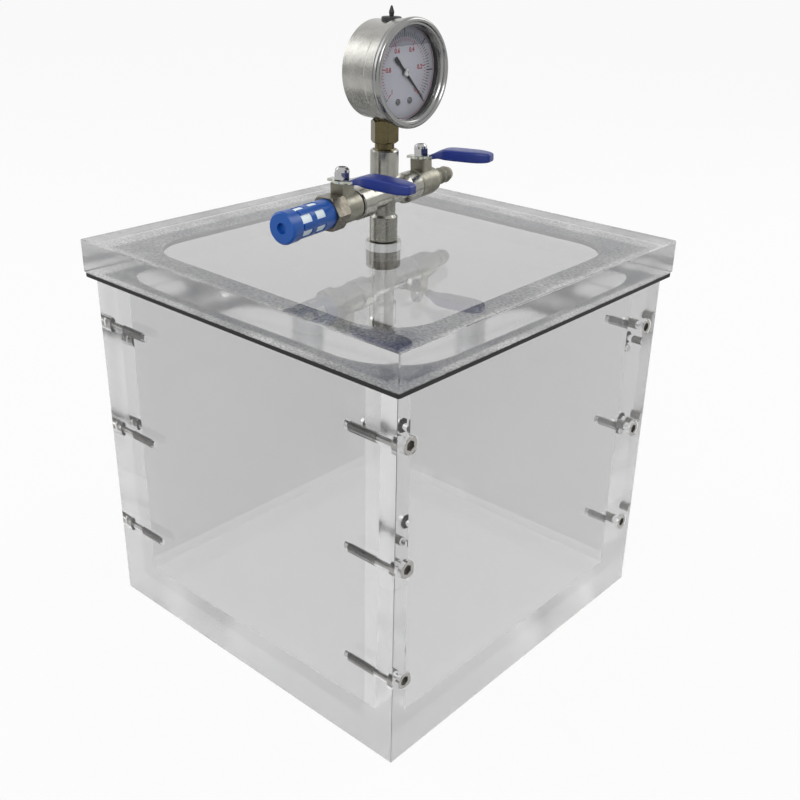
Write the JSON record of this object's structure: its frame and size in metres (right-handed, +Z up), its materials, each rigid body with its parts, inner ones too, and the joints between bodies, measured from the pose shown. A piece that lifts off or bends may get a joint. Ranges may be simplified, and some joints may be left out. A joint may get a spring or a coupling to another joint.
{
  "type": "acrylic vacuum chamber",
  "caption": "Clear box chamber with a lift-off sealed lid that carries a cross manifold, two lever ball valves, a silencer and a dial vacuum gauge.",
  "frame": {"origin": "middle of the underside of the base plate", "axes": "+Z up through the fittings; the walls face +X, -X, +Y and -Y; the wall screws run along X and the gauge faces +X"},
  "size_m": [0.25, 0.25, 0.3732],
  "materials": {
    "acrylic": "clear cast acrylic, polished",
    "seal_rubber": "matt black sheet",
    "screw_steel": "bright",
    "nickel": "satin nickel plate on brass",
    "ptfe": "white",
    "blue_plastic": "moulded, satin",
    "porous_plastic": "sintered white",
    "stainless": "brushed",
    "gauge_glass": "clear",
    "black_plastic": "matt",
    "dial_paint": "matt",
    "brass": "plain",
    "pointer_paint": "matt black",
    "black_rubber": "matt",
    "chromed_ball": "polished chrome plate on brass",
    "zinc_steel": "zinc plated",
    "blue_vinyl": "dipped, glossy"
  },
  "bodies": {
    "chamber": {"base_plate": "acrylic", "wall_right": "acrylic", "wall_left": "acrylic", "wall_front": "acrylic", "wall_back": "acrylic", "lid_plate": "acrylic", "lid_seal": "seal_rubber", "wall_screws": "screw_steel", "lid_adapter": "nickel", "thread_tape": "ptfe", "cross_fitting": "nickel", "silencer_cage": "blue_plastic", "silencer_sleeve": "porous_plastic", "gauge_case": "stainless", "gauge_bezel": "stainless", "gauge_window": "gauge_glass", "window_spacer": "black_plastic", "gauge_dial": "dial_paint", "dial_screws": "screw_steel", "gauge_socket": "brass", "bourdon_tube": "brass", "movement_frame": "brass", "movement_link": "brass", "vent_plug": "black_rubber", "front_valve_body": "nickel", "front_inner_seat": "ptfe", "front_outer_seat": "ptfe", "front_stem_packing": "ptfe", "back_valve_body": "nickel", "back_inner_seat": "ptfe", "back_outer_seat": "ptfe", "back_stem_packing": "ptfe", "front_hex_end": "nickel", "back_hose_tail": "nickel"},
    "front_lever_set": {"front_ball": "chromed_ball", "front_stem": "nickel", "front_lever": "zinc_steel", "front_lever_grip": "blue_vinyl", "front_lock_nut": "zinc_steel"},
    "back_lever_set": {"back_ball": "chromed_ball", "back_stem": "nickel", "back_lever": "zinc_steel", "back_lever_grip": "blue_vinyl", "back_lock_nut": "zinc_steel"},
    "pointer": {"gauge_pointer": "pointer_paint", "pointer_cap": "screw_steel", "pinion_spindle": "brass"},
    "sector": {"sector_gear": "brass"}
  },
  "joints": [
    {"name": "front_valve_turn", "type": "hinge", "parent": "chamber", "child": "front_lever_set", "pos_m": [0.00561, -0.03991, 0.27], "axis": [0, 0, 1], "range_deg": [-90, 0]},
    {"name": "back_valve_turn", "type": "hinge", "parent": "chamber", "child": "back_lever_set", "pos_m": [-0.00561, 0.03991, 0.27], "axis": [-0.0587, -0.0083, 0.9982], "range_deg": [-6.5, 83.5]},
    {"name": "sector_swing", "type": "hinge", "parent": "chamber", "child": "sector", "pos_m": [0, 0, 0.32926], "axis": [1, 0, 0], "range_deg": [-50, 0]},
    {"name": "pointer_turn", "type": "hinge", "parent": "chamber", "child": "pointer", "pos_m": [0, 0, 0.3395], "axis": [1, 0, 0], "range_deg": [0, 270]}
  ],
  "couplings": [
    {"joint": "pointer_turn", "follows": "sector_swing", "ratio": -5.4}
  ]
}
